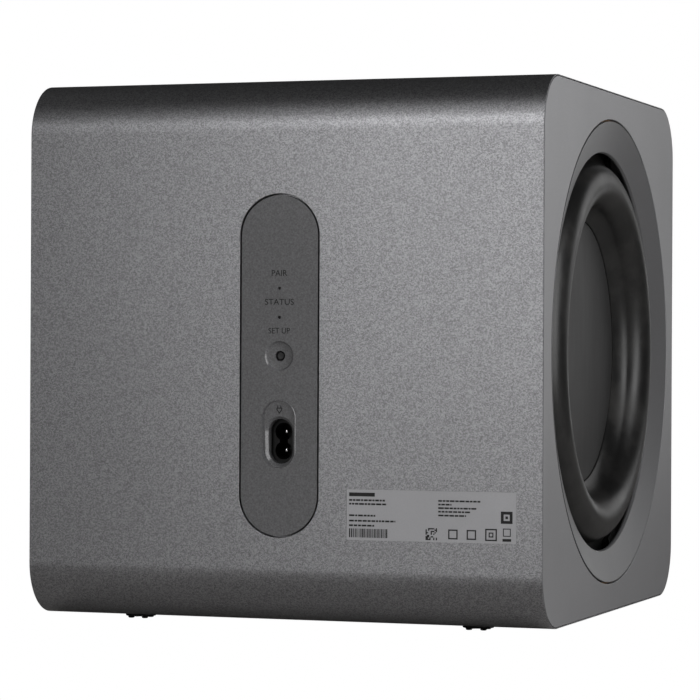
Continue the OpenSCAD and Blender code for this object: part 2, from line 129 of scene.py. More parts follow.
# Surround: middle, half width, height and rubber of the roll, and the depth of its flat edge
ROLL_R = 80.6
ROLL_HALF = 11.4
ROLL_H = 12.4
ROLL_T = 1.2
ROLL_D = CONE_D

# PANEL, RECESS, WELL and DISH are upright outlines with round ends: (half width, lowest z, highest z)

# Control panel: the gap round it, the ledge under it and its back
PANEL = (panel_high.x, panel_low.z, PANEL_TOP)
GAP = 0.75
LEDGE_Y = HALF_D - 4
PANEL_BACK = HALF_D - 3.9

# Slanted recess: its depth at the bottom, at the top and at the plug mark, and its raised rim
RECESS_Z0 = wrap_low.z + 71.1
RECESS_H = 30.6
RECESS_HALF = 7.8
RECESS = (RECESS_HALF, RECESS_Z0, RECESS_Z0 + RECESS_H)
RECESS_LOW = 1.8
RECESS_HIGH = 0.5
RECESS_MARK = 0.66
RIM_W = 0.28
RIM_H = 0.2

# Well of the power inlet, with its wall and the bevel at its mouth
WELL_HALF = 5.9
WELL_H = 20.5
WELL = (WELL_HALF, INLET_Z - WELL_H / 2, INLET_Z + WELL_H / 2)
WELL_WALL = 1.3
WELL_BEVEL = 1.15

# Set button and the dish round it
BUTTON_R = 2.0
DISH_R = 6.2
DISH = (DISH_R, BUTTON_Z - DISH_R, BUTTON_Z + DISH_R)

# ---- mesh helpers ----------------------------------------------------

ROUND_STEPS = 192
SMOOTH_ANGLE = math.radians(32)


def finish_mesh(obj):
    """Smooth shading that breaks at real edges and keeps flat faces flat."""
    mesh = obj.data
    mesh.shade_smooth()
    mesh.set_sharp_from_angle(angle=SMOOTH_ANGLE)
    weights = obj.modifiers.new("even_normals", "WEIGHTED_NORMAL")
    weights.mode = "FACE_AREA"
    weights.keep_sharp = True
    apply_modifiers(obj)


def apply_modifiers(obj):
    """Replaces an object's mesh with what its modifiers make of it."""
    graph = bpy.context.evaluated_depsgraph_get()
    mesh = bpy.data.meshes.new_from_object(obj.evaluated_get(graph), depsgraph=graph)
    obj.modifiers.clear()
    old = obj.data
    obj.data = mesh
    bpy.data.meshes.remove(old)
    mesh.name = obj.name


def to_object(name, bm):
    """Turns a millimetre bmesh into a linked object in metres."""
    bmesh.ops.scale(bm, vec=(MM, MM, MM), verts=bm.verts)
    bmesh.ops.recalc_face_normals(bm, faces=bm.faces)
    mesh = bpy.data.meshes.new(name)
    bm.to_mesh(mesh)
    bm.free()
    obj = bpy.data.objects.new(name, mesh)
    scene.collection.objects.link(obj)
    return obj


def add_loft(bm, rings, closed=False):
    """Skins a row of equal rings; closed joins the last to the first, else both ends are capped."""
    loops = [[bm.verts.new(point) for point in ring] for ring in rings]
    following = loops[1:] + (loops[:1] if closed else [])
    for first, second in zip(loops, following):
        for i in range(len(first)):
            j = (i + 1) % len(first)
            bm.faces.new((first[i], first[j], second[j], second[i]))
    if not closed:
        bm.faces.new(loops[0])
        bm.faces.new(loops[-1])


def loft(name, rings, closed=False):
    """One lofted solid as an object."""
    bm = bmesh.new()
    add_loft(bm, rings, closed)
    return to_object(name, bm)


def rounded(points, radius, steps=4):
    """The same closed outline with its corners rounded off by short curves."""
    most = 0.45  # of the side beside a corner
    result = []
    for i, point in enumerate(points):
        here = Vector(point)
        before = Vector(points[i - 1])
        after = Vector(points[(i + 1) % len(points)])
        reach = min(radius, most * (here - before).length, most * (after - here).length)
        start = here + (before - here).normalized() * reach
        end = here + (after - here).normalized() * reach
        for k in range(steps + 1):
            t = k / steps
            result.append(start * (1 - t) ** 2 + here * 2 * t * (1 - t) + end * t * t)
    return result


def circle(count):
    """Unit circle points."""
    turns = [2 * math.pi * i / count for i in range(count)]
    return [(math.cos(turn), math.sin(turn)) for turn in turns]


def quarter_round(radius, steps=5):
    """A rounded edge as (distance in from the side, distance below the face), side first."""
    turns = [math.pi / 2 * i / steps for i in range(steps + 1)]
    return [(radius * (1 - math.cos(turn)), radius * (1 - math.sin(turn))) for turn in turns]


def ring_x(side, radius, depth):
    """Circle round the drivers' axis, at a depth below a side face."""
    x = side * (HALF_W - depth)
    return [Vector((x, radius * c, AXIS_Z + radius * s)) for c, s in circle(ROUND_STEPS)]


def ring_y(x, z, radius, y, count=64):
    """Circle round an axis along Y."""
    return [Vector((x + radius * c, y, z + radius * s)) for c, s in circle(count)]


def ring_z(x, y, radius, z, count=64):
    """Circle round an upright axis."""
    return [Vector((x + radius * c, y + radius * s, z)) for c, s in circle(count)]


def turned(name, side, profile):
    """Ring turned round the drivers' axis from a closed profile of (radius, depth) points."""
    return loft(name, [ring_x(side, r, d) for r, d in profile], closed=True)


def cabinet_outline(inset, arc_steps=20, flat_steps=1):
    """The cabinet's round-cornered outline, moved inwards, as (y, z) from the axis."""
    radius = CORNER_R - inset
    centre = HALF_D - CORNER_R
    corners = [(1, 1), (-1, 1), (-1, -1), (1, -1)]

    def arc_point(quarter, share):
        y, z = corners[quarter % 4]
        turn = math.radians(90 * (quarter + share))
        return Vector((y * centre + radius * math.cos(turn), z * centre + radius * math.sin(turn)))

    points = []
    for quarter in range(4):
        points += [arc_point(quarter, i / arc_steps) for i in range(arc_steps + 1)]
        start = points[-1]
        end = arc_point(quarter + 1, 0)
        points += [start.lerp(end, i / flat_steps) for i in range(1, flat_steps)]
    return points


def stadium(half, z0, z1, out=0, steps=40):
    """Upright outline with round ends, moved outwards, as (x, z)."""
    half, z0, z1 = half + out, z0 - out, z1 + out
    points = []
    for middle, start in ((z1 - half, 0), (z0 + half, 180)):
        for i in range(steps + 1):
            turn = math.radians(start + 180 * i / steps)
            points.append((half * math.cos(turn), middle + half * math.sin(turn)))
    return points


def rectangle(x0, x1, z0, z1, radius=0.0):
    """Rectangle outline as (x, z), with rounded corners where a radius is given."""
    points = [(x0, z0), (x1, z0), (x1, z1), (x0, z1)]
    return rounded(points, radius, 6) if radius else points


def prism(name, outline, y0, y1):
    """Solid between two places on Y from an (x, z) outline."""
    return loft(name, [[Vector((x, y, z)) for x, z in outline] for y in (y0, y1)])


def carve(obj, cutters, operation="DIFFERENCE"):
    """Cuts solids out of a solid, or joins them to it, exactly."""
    for cutter in cutters:
        step = obj.modifiers.new("cut", "BOOLEAN")
        step.object = cutter
        step.operation = operation
        step.solver = "EXACT"
        apply_modifiers(obj)
        old = cutter.data
        bpy.data.objects.remove(cutter)
        bpy.data.meshes.remove(old)


def soften(obj, width, segments=3, angle=34):
    """Rounds the solid's edges by a small width."""
    step = obj.modifiers.new("edge", "BEVEL")
    step.width = width * MM
    step.segments = segments
    step.limit_method = "ANGLE"
    step.angle_limit = math.radians(angle)
    apply_modifiers(obj)


# ---- material helpers ------------------------------------------------


def empty_tree(owner):
    """The cleared node tree of a material or world."""
    owner.use_nodes = True
    owner.node_tree.nodes.clear()
    return owner.node_tree


class Finish:
    """A procedural material on object coordinates, built from a few named parts."""

    def __init__(self, name, **sockets):
        self.material = bpy.data.materials.new(name)
        self.tree = empty_tree(self.material)
        self.shader = self.add("ShaderNodeBsdfPrincipled", inputs=sockets)
        output = self.add("ShaderNodeOutputMaterial")
        self.tree.links.new(self.shader.outputs[0], output.inputs[0])
        self.place = self.add("ShaderNodeTexCoord").outputs["Object"]
        self.normal = None

    def wire(self, node, key, value):
        """Links an input to a socket, or sets it to a value."""
        if isinstance(value, bpy.types.NodeSocket):
            self.tree.links.new(value, node.inputs[key])
        else:
            node.inputs[key].default_value = value

    def add(self, kind, props=None, inputs=None):
        """A new node with its settings and inputs."""
        node = self.tree.nodes.new(kind)
        for key, value in (props or {}).items():
            setattr(node, key, value)
        for key, value in (inputs or {}).items():
            self.wire(node, key, value)
        return node

    def stretched(self, scale):
        """Object coordinates stretched by a scale per axis."""
        return self.add("ShaderNodeMapping", inputs={"Vector": self.place, "Scale": scale}).outputs[0]

    def noise(self, scale, detail=2.0, rough=0.5, place=None, distortion=0.0):
        """A cloudy pattern."""
        sockets = {"Vector": place or self.place, "Scale": scale, "Detail": detail}
        sockets |= {"Roughness": rough, "Distortion": distortion}
        return self.add("ShaderNodeTexNoise", inputs=sockets).outputs["Fac"]

    def cells(self, scale):
        """A random grey per small cell."""
        node = self.add("ShaderNodeTexVoronoi", inputs={"Vector": self.place, "Scale": scale})
        return self.add("ShaderNodeSeparateColor", inputs={"Color": node.outputs["Color"]}).outputs[0]

    def bands(self, scale, axis="X", distortion=0.0):
        """Soft stripes across an axis."""
        sockets = {"Vector": self.place, "Scale": scale, "Distortion": distortion}
        props = {"wave_type": "BANDS", "bands_direction": axis}
        return self.add("ShaderNodeTexWave", props, sockets).outputs["Fac"]

    def spread(self, value, low, high, start=0.3, end=0.7):
        """Maps a pattern onto a range of values."""
        sockets = {"Value": value, "From Min": start, "From Max": end, "To Min": low, "To Max": high}
        return self.add("ShaderNodeMapRange", inputs=sockets).outputs[0]

    def mix(self, factor, first, second, blend="MIX"):
        """Mix of two colours or colour sockets, which are the node's inputs 6 and 7 and output 2."""
        props = {"data_type": "RGBA", "blend_type": blend}
        return self.add("ShaderNodeMix", props, {0: factor, 6: first, 7: second}).outputs[2]

    def mottled(self, base, scale, detail, swing):
        """A colour that grows softly lighter and darker by a share."""
        cloud = self.noise(scale, detail)
        shade = self.mix(self.spread(cloud, 0, 1), grey(1 - swing), grey(1 + swing))
        return self.mix(1.0, base, shade, "MULTIPLY")

    def math(self, operation, first, second=0.0):
        """Arithmetic on numbers or sockets."""
        return self.add("ShaderNodeMath", {"operation": operation}, {0: first, 1: second}).outputs[0]

    def bump(self, height, strength, depth):
        """Adds relief of a depth in millimetres on top of any relief so far."""
        sockets = {"Height": height, "Strength": strength, "Distance": depth * MM}
        if self.normal is not None:
            sockets["Normal"] = self.normal
        self.normal = self.add("ShaderNodeBump", inputs=sockets).outputs[0]
        self.wire(self.shader, "Normal", self.normal)

    def colour(self, socket):
        """Sets the surface's colour."""
        self.wire(self.shader, "Base Color", socket)

    def roughness(self, socket):
        """Sets the surface's roughness."""
        self.wire(self.shader, "Roughness", socket)


def grey(value, warm=0.0):
    """A linear grey; warm above zero leans to brown, below to blue."""
    return (value * (1 + max(warm, 0)), value, value * (1 - warm), 1)


def flake_paint(name, dark, light, metallic, rough, grain=2100.0):
    """Sprayed metallic paint: random flakes over a softly mottled coat."""
    f = Finish(name, Metallic=metallic)
    flakes = f.cells(grain)
    fine = f.noise(grain * 1.3, 1.0)
    f.colour(f.mottled(f.mix(f.spread(flakes, 0, 1, 0.0, 1.0), dark, light), 9.0, 3.0, 0.03))
    f.roughness(f.spread(fine, rough - 0.06, rough + 0.06))
    f.bump(flakes, 0.35, 0.03)
    return f.material


def satin(name, dark, light, metallic, rough, grain=2600.0, relief=0.2, marks=0.05, gloss=0.5):
    """Moulded satin plastic with a fine even grain and faint handling marks."""
    f = Finish(name, **{"Metallic": metallic, "Specular IOR Level": gloss})
    fine = f.noise(grain, 2.0, 0.6)
    smear = f.noise(60.0, 3.0, 0.6, f.stretched((1, 1, 0.25)))
    f.colour(f.mottled(f.mix(f.spread(fine, 0, 1), dark, light), 14.0, 4.0, 0.04))
    f.roughness(f.spread(smear, rough - marks, rough + marks))
    f.bump(fine, relief, 0.04)
    return f.material


def panel_coat(name, dark, light, rough, polished, grain=1500.0):
    """Grained plastic with smooth polished bands along the rims of the panel's hollows."""
    f = Finish(name)
    fine = f.noise(grain, 2.0, 0.6)
    x, _, z = f.add("ShaderNodeSeparateXYZ", inputs={"Vector": f.place}).outputs
    smooth = 0.0
    for (half, z0, z1), out, band in POLISHED:
        low, high = (z0 + half) * MM, (z1 - half) * MM
        nearest = f.math("MINIMUM", f.math("MAXIMUM", z, low), high)
        rise = f.math("SUBTRACT", z, nearest)
        squares = f.math("ADD", f.math("POWER", x, 2.0), f.math("POWER", rise, 2.0))
        away = f.math("ABSOLUTE", f.math("SUBTRACT", f.math("SQRT", squares), (half + out) * MM))
        smooth = f.math("MAXIMUM", f.spread(away, 1.0, 0.0, band * 0.6 * MM, band * MM), smooth)
    f.colour(f.mottled(f.mix(f.spread(fine, 0, 1), dark, light), 14.0, 4.0, 0.04))
    f.roughness(f.spread(smooth, rough, polished, 0.0, 1.0))
    f.bump(f.math("MULTIPLY", fine, f.math("SUBTRACT", 1.0, smooth)), 0.6, 0.04)
    return f.material


def rubber(name, dark, light, rough, grain=1800.0):
    """Moulded rubber: soft sheen, pores and a little dust."""
    f = Finish(name)
    pores = f.noise(grain, 3.0, 0.7)
    dust = f.noise(45.0, 5.0, 0.65)
    base = f.mix(f.spread(pores, 0, 1), dark, light)
    f.colour(f.mix(f.spread(dust, 0.0, 0.10, 0.45, 0.8), base, grey(0.30, 0.05)))
    f.roughness(f.spread(dust, rough - 0.06, rough + 0.10))
    f.bump(pores, 0.25, 0.04)
    f.bump(f.noise(110.0, 2.0), 0.03, 0.15)
    return f.material


def metal(name, dark, light, rough, direction=(1, 1, 40), scale=60.0):
    """Drawn or plated metal with fine lines along one way."""
    f = Finish(name, Metallic=1.0)
    lines = f.noise(scale, 4.0, 0.7, f.stretched(direction))
    spots = f.noise(900.0, 2.0)
    f.colour(f.mix(f.spread(lines, 0, 1), dark, light))
    f.roughness(f.spread(spots, rough - 0.07, rough + 0.09))
    f.bump(lines, 0.15, 0.02)
    return f.material


def fibre(name, dark, light, scale=180.0, rough=0.9, direction=(1, 1, 1)):
    """Pressed board, felt or paper: tangled fibres in several tones."""
    f = Finish(name)
    strands = f.noise(scale, 8.0, 0.75, f.stretched(direction), 1.2)
    specks = f.cells(scale * 4)
    base = f.mix(f.spread(strands, 0, 1, 0.35, 0.65), dark, light)
    f.colour(f.mix(0.18, base, f.mix(specks, dark, light)))
    f.roughness(f.spread(strands, rough - 0.08, rough))
    f.bump(strands, 0.5, 0.25)
    return f.material


def woven(name, dark, light, scale=900.0):
    """Plain woven cloth, stiff with resin."""
    f = Finish(name)
    warp = f.bands(scale, "Y")
    weft = f.bands(scale, "Z")
    weave = f.math("MULTIPLY", warp, weft)
    tint = f.noise(40.0, 4.0)
    base = f.mix(weave, dark, light)
    f.colour(f.mix(f.spread(tint, 0.0, 0.3), base, dark))
    f.roughness(f.spread(tint, 0.6, 0.85))
    f.bump(weave, 0.6, 0.12)
    return f.material


def circuit(name, dark, light):
    """Solder mask over tracks, with pads that show through."""
    f = Finish(name, IOR=1.5)
    tracks = f.math("MULTIPLY", f.bands(70.0, "Y", 6.0), f.bands(55.0, "Z", 5.0))
    pads = f.cells(420.0)
    base = f.mix(f.spread(tracks, 0, 1, 0.2, 0.4), dark, light)
    f.colour(f.mix(f.spread(pads, 0, 1, 0.90, 0.94), base, (0.55, 0.45, 0.2, 1)))
    f.roughness(f.spread(pads, 0.25, 0.4, 0.2, 0.8))
    f.bump(tracks, 0.4, 0.04)
    return f.material


def winding(name, dark, light, metallic, axis="X", scale=520.0):
    """Wire or tape wound in close turns."""
    f = Finish(name, Metallic=metallic)
    turns = f.bands(scale, axis)
    tint = f.noise(70.0, 3.0)
    base = f.mix(turns, dark, light)
    f.colour(f.mix(f.spread(tint, 0.0, 0.25), base, dark))
    f.roughness(f.spread(tint, 0.3, 0.5))
    f.bump(turns, 0.7, 0.15)
    return f.material


# Polished bands of the control panel: outline, distance outside it, half width of the band
POLISHED = ((DISH, 0.35, 0.7), (RECESS, 0.1, 0.7), (WELL, 0.5, 1.0))

# The cold tint of the paints, and a slight one
COLD = -0.036
COOL = -0.005

# Every recipe is a maker, the dark colour and the light colour, and then what its group's comment says
RECIPES = {
    # metallic, roughness
    "shell_paint": (flake_paint, grey(0.215, COLD), grey(0.425, COLD), 0.88, 0.36),
    # metallic, roughness, grain, relief, marks, gloss
    "side_paint": (satin, grey(0.29, COLD), grey(0.34, COLD), 0.20, 0.40, 2800.0, 0.10, 0.01),
    "trim_plastic": (satin, grey(0.170, COLD), grey(0.205, COLD), 0.30, 0.38, 2800.0, 0.10, 0.01),
    "cap_plastic": (satin, grey(0.038, COOL), grey(0.052, COOL), 0.0, 0.46, 1500.0, 0.30),
    "lens_plastic": (satin, grey(0.004), grey(0.010), 0.0, 0.12, 800.0, 0.03),
    "button_plastic": (satin, grey(0.030, COLD), grey(0.045, COLD), 0.0, 0.46, 1900.0, 0.35),
    "inlet_plastic": (satin, grey(0.006), grey(0.012), 0.0, 0.42, 1500.0, 0.20, 0.05, 0.22),
    "switch_plastic": (satin, grey(0.010), grey(0.020), 0.0, 0.40, 1500.0),
    "plunger_plastic": (satin, grey(0.50, 0.02), grey(0.60, 0.02), 0.0, 0.35, 1500.0),
    "tub_plastic": (satin, grey(0.012), grey(0.022), 0.0, 0.45, 1300.0, 0.30),
    "chip_resin": (satin, grey(0.010), grey(0.020), 0.0, 0.55, 3000.0, 0.40),
    "led_chip": (satin, (0.75, 0.66, 0.35, 1), (0.85, 0.78, 0.45, 1), 0.0, 0.30, 1500.0),
    "lead_insulation": (satin, (0.28, 0.012, 0.01, 1), (0.40, 0.02, 0.016, 1), 0.0, 0.40),
    "label_film": (satin, grey(0.51, COLD), grey(0.57, COLD), 0.45, 0.50, 3200.0, 0.10, 0.02),
    "ink": (satin, grey(0.006), grey(0.012), 0.0, 0.55, 2600.0, 0.20),
    # roughness, roughness of the polished bands
    "panel_plastic": (panel_coat, grey(0.130, COLD), grey(0.225, COLD), 0.50, 0.16),
    # roughness, grain
    "surround_rubber": (rubber, grey(0.010), grey(0.018), 0.36),
    "foot_rubber": (rubber, grey(0.010), grey(0.020), 0.62),
    "gasket_foam": (rubber, grey(0.018), grey(0.035), 0.85, 2400.0),
    # roughness, stretch of the lines, their scale
    "zinc_screw": (metal, grey(0.50), grey(0.68), 0.30),
    "black_screw": (metal, grey(0.030), grey(0.060), 0.38),
    "pin_metal": (metal, grey(0.82), grey(0.93), 0.16),
    "plated_steel": (metal, grey(0.42), grey(0.55), 0.34),
    "basket_metal": (metal, grey(0.060), grey(0.095), 0.48, (6, 6, 6), 160.0),
    "sink_aluminium": (metal, grey(0.62), grey(0.74), 0.30),
    # scale, roughness, stretch of the fibres
    "cone_paper": (fibre, grey(0.012), grey(0.03), 420.0, 0.85),
    "ferrite": (fibre, grey(0.020), grey(0.040), 700.0, 0.70),
    "board": (fibre, (0.20, 0.11, 0.05, 1), (0.36, 0.23, 0.12, 1), 240.0, 0.92, (3, 1, 1)),
    "felt": (fibre, grey(0.020), grey(0.065), 320.0, 1.0),
    "terminal_board": (fibre, (0.10, 0.045, 0.015, 1), (0.18, 0.09, 0.03, 1), 300.0, 0.6, (1, 1, 8)),
    # metallic, axis of the turns, their scale
    "capacitor_can": (winding, (0.01, 0.012, 0.05, 1), (0.02, 0.025, 0.09, 1), 0.0, "X", 30.0),
    "coil_copper": (winding, (0.42, 0.14, 0.05, 1), (0.86, 0.42, 0.20, 1), 1.0, "X", 900.0),
    "coil_toroid": (winding, (0.36, 0.10, 0.03, 1), (0.75, 0.30, 0.12, 1), 0.8, "Z", 260.0),
    "winding_tape": (winding, (0.62, 0.42, 0.05, 1), (0.80, 0.62, 0.10, 1), 0.0, "X", 60.0),
    # nothing more
    "spider_cloth": (woven, (0.30, 0.18, 0.05, 1), (0.52, 0.36, 0.12, 1)),
    "circuit_board": (circuit, (0.004, 0.045, 0.018, 1), (0.012, 0.11, 0.045, 1)),
    "radio_module": (circuit, (0.005, 0.03, 0.06, 1), (0.02, 0.07, 0.12, 1)),
}
FINISHES = {name: maker(name, *details) for name, (maker, *details) in RECIPES.items()}

BODY_OF_SIDE = {-1: "driver_left", 1: "driver_right"}
NAME_OF_SIDE = {-1: "left", 1: "right"}


def paint(obj, finish):
    """Gives an object one finish, in every material slot it has."""
    if not obj.material_slots:
        obj.data.materials.append(FINISHES[finish])
    for place in obj.material_slots:
        place.link = "OBJECT"
        place.material = FINISHES[finish]


def place_piece(obj, body, finish, nodes=()):
    """Finishes a new piece: normals, material, body and the nodes it stands for."""
    finish_mesh(obj)
    paint(obj, finish)
    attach(obj, body)
    if nodes:
        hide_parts(*nodes)
    return obj


def bend_with_cone(obj, side, outer_r, inner_r, finish, node):
    """Finishes a ring whose outer edge stays with the cabinet and whose inner edge follows the cone."""
    finish_mesh(obj)
    paint(obj, finish)
    outer = Vector((side * HALF_W, outer_r, AXIS_Z)) * MM
    inner = Vector((side * HALF_W, inner_r, AXIS_Z)) * MM
    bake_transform(obj, "cabinet", BODY_OF_SIDE[side], start=outer, end=inner)
    weights = obj.data.attributes["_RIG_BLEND"].data
    for vertex, weight in zip(obj.data.vertices, weights):
        radius = math.hypot(vertex.co.y, vertex.co.z - AXIS_Z * MM) / MM
        t = min(1.0, max(0.0, (outer_r - radius) / (outer_r - inner_r)))
        weight.value = t * t * (3 - 2 * t)
    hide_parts(node)
    return obj


# ---- cabinet ---------------------------------------------------------


def feet_places():
    """Middles of the four feet."""
    return [(x, y) for x in (-FOOT_X, FOOT_X) for y in (-FOOT_Y, FOOT_Y)]


def cabinet_shell():
    """The folded wrap: thin lips, rebates, and openings for the panel, the label and the feet."""
    lip_round = 0.24
    opening_round = 0.22
    ledge = 2
    margin = 0.1
    foot_gap = 0.2
    end = wrap_high.x
    rebate = HALF_W - PLATE_T
    # (distance in from the outline, x) from the outer corner over the lip into the rebate
    half = [(0, end), (LIP, end), (LIP, rebate), (WALL, rebate)]
    section = half + [(inset, -x) for inset, x in reversed(half)]
    rings = []
    for inset, x in rounded(section, lip_round):
        rings.append([Vector((x, y, AXIS_Z + z)) for y, z in cabinet_outline(inset)])
    shell = loft("cabinet_shell", rings, closed=True)
    carve(shell, [
        prism("opening", stadium(*PANEL, GAP), LEDGE_Y, OUTSIDE_Y),
        prism("passage", stadium(*PANEL, -ledge), INNER_Y - 1, OUTSIDE_Y),
    ])
    soften(shell, opening_round)
    x0, x1 = label_low.x - margin, label_high.x + margin
    z0, z1 = label_low.z - margin, label_high.z + margin
    carve(shell, [prism("recess", rectangle(x0, x1, z0, z1, LABEL_CORNER_R), label_low.y, OUTSIDE_Y)])
    for x, y in feet_places():
        rings = [ring_z(x, y, FOOT_R + foot_gap, z) for z in (wrap_low.z - 1, feet_high.z)]
        carve(shell, [loft("pocket", rings)])
    return place_piece(shell, "cabinet", "shell_paint", ["cabinet_wrap"])


def side_panel(side):
    """Flat plate with a round opening and softly rounded edges."""
    name = NAME_OF_SIDE[side]
    trim_gap = 0.9
    hole_r = TRIM_R + trim_gap
    hole_round = 0.3
    rim_round = 0.14

    def outline(inset):
        return cabinet_outline(inset, arc_steps=24, flat_steps=56)

    def plane(points, depth):
        return [Vector((side * (HALF_W - depth), y, AXIS_Z + z)) for y, z in points]

    around = [point.normalized() for point in outline(PLATE_INSET)]
    rings = [plane([hole_r * way for way in around], PLATE_T)]
    for out, depth in quarter_round(hole_round):
        rings.append(plane([(hole_r + out) * way for way in around], depth))
    for inset, depth in reversed(quarter_round(rim_round)):
        rings.append(plane(outline(PLATE_INSET + inset), depth))
    rings.append(plane(outline(PLATE_INSET), PLATE_T))
    panel = loft(f"side_plate_{name}", rings, closed=True)
    return place_piece(panel, "cabinet", "side_paint", [f"side_panel_{name}"])


def rubber_feet():
    """Four rubber pads with a screw well and four small nubs each."""
    base = 1.0
    well_r = 2.7
    well_z = 2.3
    bore_r = 1.6
    nub_r = 1.5
    nub_ring = 4.9
    pad = [(well_r, base), (FOOT_R, base), (FOOT_R, feet_high.z)]
    pad += [(bore_r, feet_high.z), (bore_r, well_z), (well_r, well_z)]
    nub = [(nub_r, base + 0.4), (nub_r, 0.5), (nub_r * 0.92, 0.22)]
    nub += [(nub_r * 0.7, 0.05), (nub_r * 0.4, 0.0)]
    bm = bmesh.new()
    for x, y in feet_places():
        add_loft(bm, [ring_z(x, y, r, z) for r, z in rounded(pad, 0.4)], closed=True)
        for i in range(4):
            turn = math.radians(45 + 90 * i)
            place = (x + nub_ring * math.cos(turn), y + nub_ring * math.sin(turn))
            add_loft(bm, [ring_z(*place, r, z, 32) for r, z in nub])
    return place_piece(to_object("rubber_feet", bm), "cabinet", "foot_rubber", ["feet"])


def cross_screws():
    """Pan-head screws with a cross slot that hold the feet."""
    head_r = 2.4
    shaft_r = 1.3
    slot = (1.3, 0.3)
    slot_z = (0.9, 1.75)
    profile = [(0.9, 1.3), (1.9, 1.36), (head_r, 1.75), (head_r, 2.3), (shaft_r, 2.3), (shaft_r, 7.4)]
    bm = bmesh.new()
    for x, y in feet_places():
        add_loft(bm, [ring_z(x, y, r, z, 48) for r, z in profile])
    screws = to_object("foot_screw_heads", bm)
    for x, y in feet_places():
        for long_x, long_y in (slot, slot[::-1]):
            corners = rectangle(x - long_x, x + long_x, y - long_y, y + long_y)
            carve(screws, [loft("slot", [[Vector((*corner, z)) for corner in corners] for z in slot_z])])
    return place_piece(screws, "cabinet", "zinc_screw", ["foot_screws"])


# ---- drivers ---------------------------------------------------------


def trim_ring(side):
    """Sloping ring round the driver with a rounded lip over the surround."""
    chamfer = 0.12
    skirt_t = 2
    # down the outside to the flange, up inside the skirt, then round the lip
    profile = [
        (TRIM_R - chamfer, 0.0), (TRIM_R, chamfer), (TRIM_R, PLATE_T), (SKIRT_R, PLATE_T),
        (SKIRT_R, FLANGE_D), (SKIRT_R - skirt_t, FLANGE_D), (SKIRT_R - skirt_t, PLATE_T + 1.9),
        (LIP_R + 1.6, LIP_D + 2.6), (LIP_R + 0.4, LIP_D + 2.2), (LIP_R, LIP_D + 1.2), (LIP_R + 0.5, LIP_D),
    ]
    name = NAME_OF_SIDE[side]
    ring = turned(f"trim_bezel_{name}", side, rounded(profile, 0.3, 5))
    return place_piece(ring, "cabinet", "trim_plastic", [f"trim_ring_{name}"])


def bezier(start, first, second, end, steps):
    """Points of a cubic curve, without its first point."""
    corners = [Vector(p) for p in (start, first, second, end)]
    points = []
    for i in range(1, steps + 1):
        t = i / steps
        shares = ((1 - t) ** 3, 3 * t * (1 - t) ** 2, 3 * t * t * (1 - t), t ** 3)
        points.append(sum((p * s for p, s in zip(corners, shares)), Vector((0, 0))))
    return points


def surround(side):
    """Half-roll rubber surround whose inner flange runs smoothly down to the centre disc."""
    steps = 40
    slope_steps = 18
    flat_r = 98.4
    outer_r = ROLL_R + ROLL_HALF
    inner_r = ROLL_R - ROLL_HALF
    # the flat edge and its fillet, the roll, the slope down to the cap, and the rim beside the cap
    top = [(flat_r, ROLL_D), (outer_r + 1.4, ROLL_D), (outer_r + 0.5, ROLL_D - 0.25)]
    for i in range(2, steps - 3):
        turn = math.pi * i / steps
        top.append((ROLL_R + ROLL_HALF * math.cos(turn), ROLL_D - ROLL_H * math.sin(turn)))
    leave = Vector(top[-1])
    arrive = Vector((CAP_R + 0.45, 16.0))
    top += bezier(leave, leave + Vector((-0.63, 2.2)), arrive + Vector((3.1, -1.7)), arrive, slope_steps)
    top += [(CAP_R + 0.28, 16.15), (CAP_R + 0.22, 16.4), (CAP_R + 0.2, 17.4)]
    # the underside of the slope and of the roll
    back = [(65.4, 17.3), (69.2, 15.4)]
    for i in range(1, steps + 1):
        turn = math.pi - math.pi * i / steps
        across = (ROLL_HALF - ROLL_T) * math.cos(turn)
        back.append((ROLL_R + across, FLANGE_D - (ROLL_H - 0.1) * math.sin(turn)))
    name = NAME_OF_SIDE[side]
    ring = turned(f"roll_surround_{name}", side, top + back + [(flat_r, FLANGE_D)])
    return bend_with_cone(ring, side, outer_r, inner_r, "surround_rubber", f"surround_{name}")


def spider(side):
    """Corrugated cloth disc that centres the voice coil, held outside held_r."""
    waves = 6
    height = 1.2
    cloth = 0.5
    inner_r = 25.7
    outer_r = 59
    rim_r = 65
    rest = 51.8
    held_r = 57
    carried_r = 28
    steps = 72
    face = []
    for i in range(steps + 1):
        t = i / steps
        swell = min(1.0, 8 * t, 8 * (1 - t))
        wave = swell * height * math.sin(2 * math.pi * waves * t)
        face.append((inner_r + (outer_r - inner_r) * t, rest - wave))
    face.append((rim_r, rest))
    back = [(r, d + cloth) for r, d in reversed(face)]
    name = NAME_OF_SIDE[side]
    disc = turned(f"corrugated_spider_{name}", side, face + back)
    return bend_with_cone(disc, side, held_r, carried_r, "spider_cloth", f"spider_{name}")


def cone(side):
    """Stiff cone under the surround's flange, down to the voice coil."""
    rim_r = 66.0
    neck_r = 25.45
    neck_end = 47.5
    # the front from the rim to the neck, then the back
    profile = [
        (rim_r, 17.5), (63.5, 17.85), (61.2, 17.9), (26.8, 42.8), (neck_r, 43.5),
        (neck_r, neck_end), (26.8, neck_end), (27.2, 45.0), (62.6, 19.9), (rim_r, 18.9),
    ]
    name = NAME_OF_SIDE[side]
    piece = turned(f"driver_cone_{name}", side, rounded(profile, 0.4))
    return place_piece(piece, BODY_OF_SIDE[side], "cone_paper", [f"cone_{name}"])


